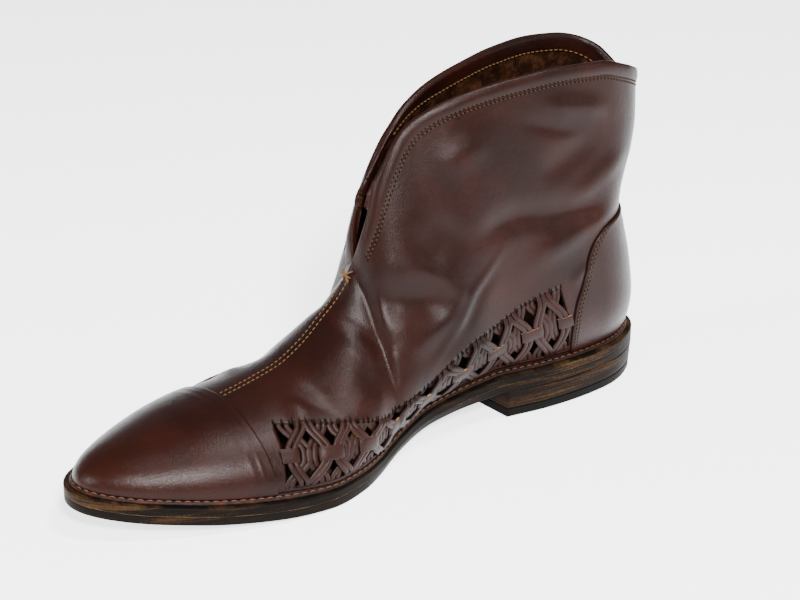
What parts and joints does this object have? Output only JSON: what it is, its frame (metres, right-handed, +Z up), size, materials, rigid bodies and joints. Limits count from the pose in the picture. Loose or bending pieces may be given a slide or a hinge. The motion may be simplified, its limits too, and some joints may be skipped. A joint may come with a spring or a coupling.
{
  "type": "leather ankle boot",
  "caption": "Right ankle boot in dark brown leather with a slit front, stitched toe cap, woven side windows and a low stacked heel.",
  "frame": {"origin": "on the floor under the middle of the boot's bounding box", "axes": "+Z up, the toe points to -Y, the heel to +Y, and the medial side is +X"},
  "size_m": [0.0917, 0.288, 0.1531],
  "materials": {
    "outsole": "dark stained edge, satin",
    "midsole": "dark stained edge, satin",
    "heel_stack": "stacked leather lifts, burnished",
    "heel_top_piece": "plain, matte",
    "insole": "dark brown lining leather, soft",
    "upper": "smooth, waxed to a gloss",
    "toe_cap": "smooth, waxed to a gloss",
    "heel_counter": "smooth, waxed to a gloss",
    "back_stay": "smooth, waxed to a gloss",
    "collar_hem": "smooth, waxed to a gloss",
    "woven_panel_medial": "smooth strips with raw cut edges",
    "woven_panel_lateral": "smooth strips with raw cut edges"
  },
  "bodies": {
    "root": {"outsole": "outsole", "midsole": "midsole", "heel_stack": "heel_stack", "heel_top_piece": "heel_top_piece", "insole": "insole", "upper": "upper", "toe_cap": "toe_cap", "heel_counter": "heel_counter", "back_stay": "back_stay", "collar_hem": "collar_hem", "woven_panel_medial": "woven_panel_medial", "woven_panel_lateral": "woven_panel_lateral"}
  },
  "joints": []
}
